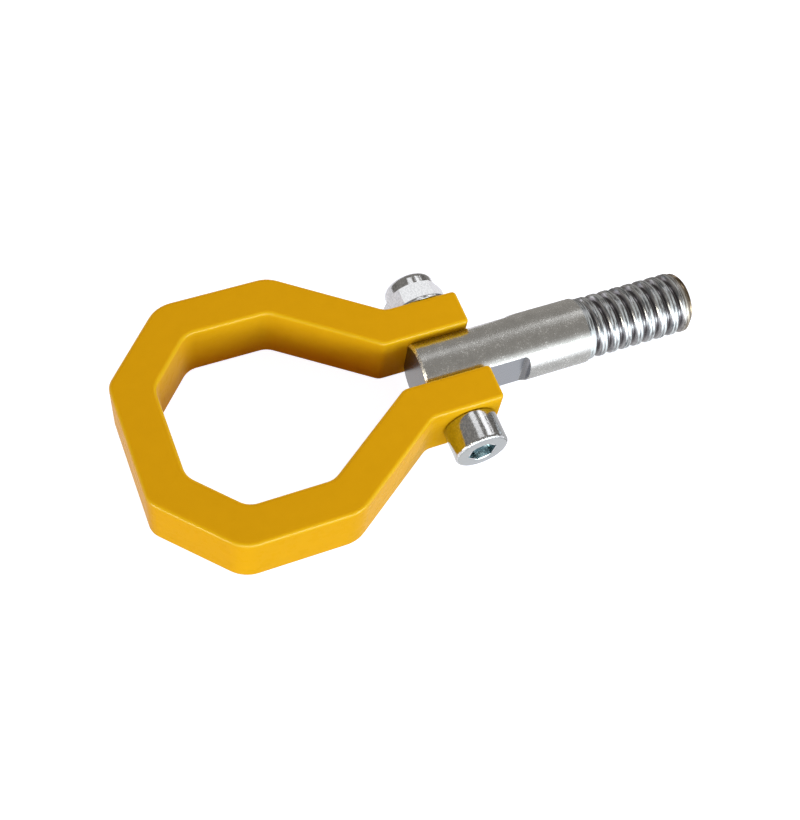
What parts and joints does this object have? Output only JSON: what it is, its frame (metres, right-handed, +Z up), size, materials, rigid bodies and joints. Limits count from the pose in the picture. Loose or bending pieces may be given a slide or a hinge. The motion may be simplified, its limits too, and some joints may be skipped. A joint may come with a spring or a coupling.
{
  "type": "tow eye",
  "caption": "Folding tow eye: a cast loop hinged by a cap screw on a threaded shank that screws into a vehicle.",
  "frame": {"origin": "on the thread's axis, at the shoulder where the thread meets the plain shank", "axes": "+X along the shank towards the thread's tip, +Y along the hinge screw towards its nut, +Z up through the loop's thickness"},
  "size_m": [0.1389, 0.0636, 0.0164],
  "materials": {
    "loop_coat": "semi-gloss yellow powder coat",
    "shank_zinc": "satin zinc plate",
    "fastener_zinc": "bright zinc plate",
    "insert_nylon": "natural nylon"
  },
  "bodies": {
    "shank": {"tow_shank": "shank_zinc"},
    "loop": {"tow_loop": "loop_coat", "hinge_screw": "fastener_zinc", "lock_nut": "fastener_zinc", "nylon_insert": "insert_nylon"}
  },
  "joints": [
    {"name": "loop_fold", "type": "hinge", "parent": "shank", "child": "loop", "pos_m": [-0.03475, 0, 0], "axis": [0, 1, 0], "continuous": true}
  ]
}
